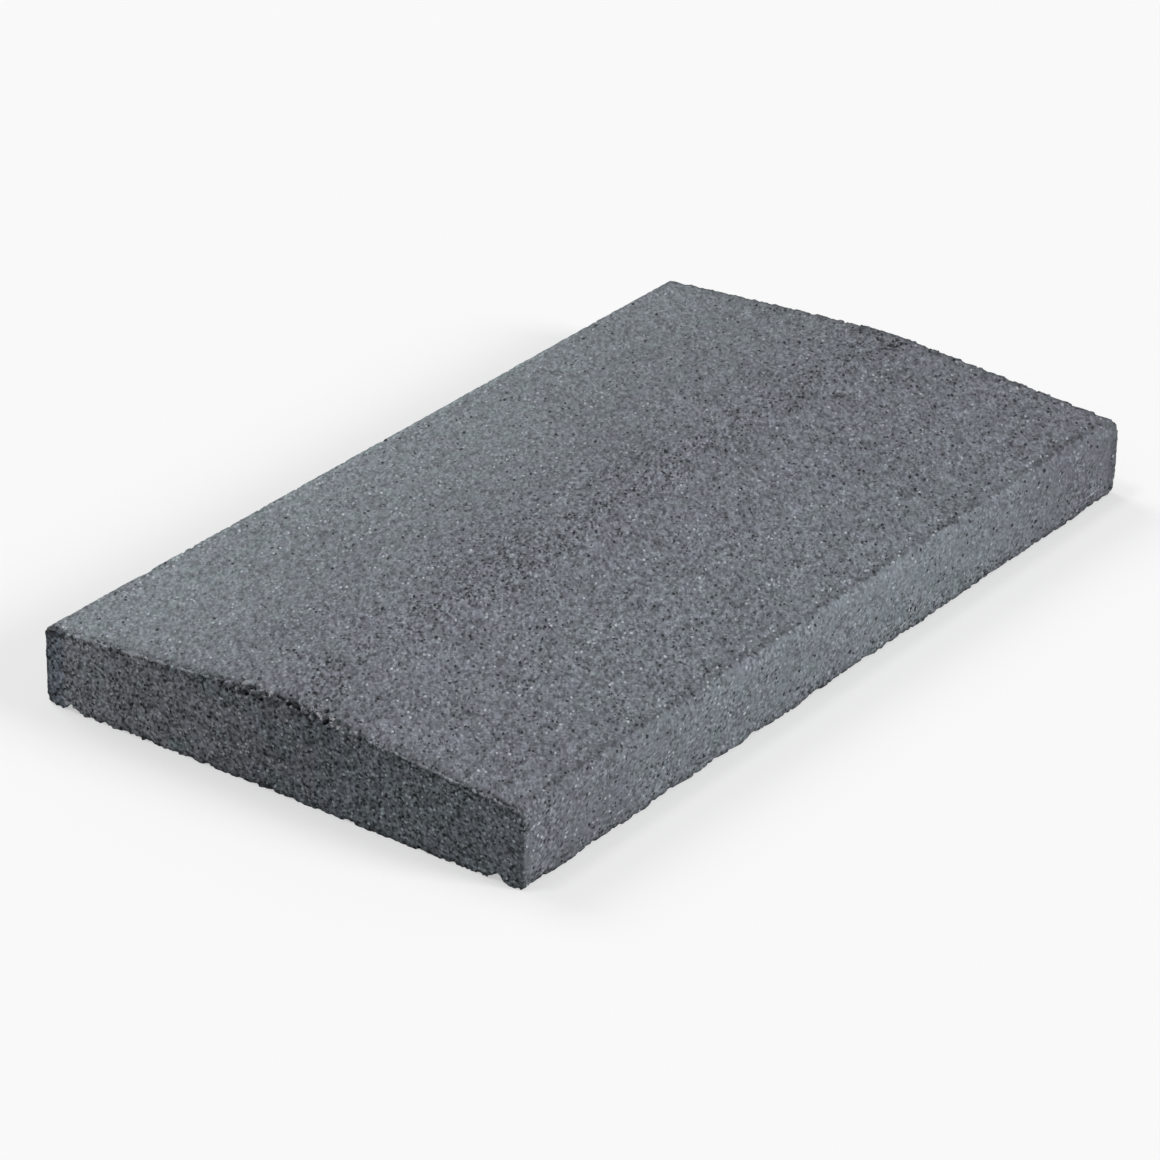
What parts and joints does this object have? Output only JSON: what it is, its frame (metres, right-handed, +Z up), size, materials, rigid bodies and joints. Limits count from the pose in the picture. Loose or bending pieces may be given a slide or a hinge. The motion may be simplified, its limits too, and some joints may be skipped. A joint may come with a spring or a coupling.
{
  "type": "wall coping stone",
  "caption": "Cast concrete wall coping: a top that falls both ways from a soft ridge, rounded long edges, square butt ends and a drip groove under each long edge.",
  "frame": {"origin": "middle of the bed, the flat underside that lies on the wall", "axes": "+X along the length of the wall, +Y across the wall, +Z up through the ridge"},
  "size_m": [0.5, 0.28, 0.05],
  "materials": {
    "anthracite_concrete": "matt fine-grained pressed concrete, open pores and pale grains of sand"
  },
  "bodies": {
    "root": {"coping_stone": "anthracite_concrete"}
  },
  "joints": []
}
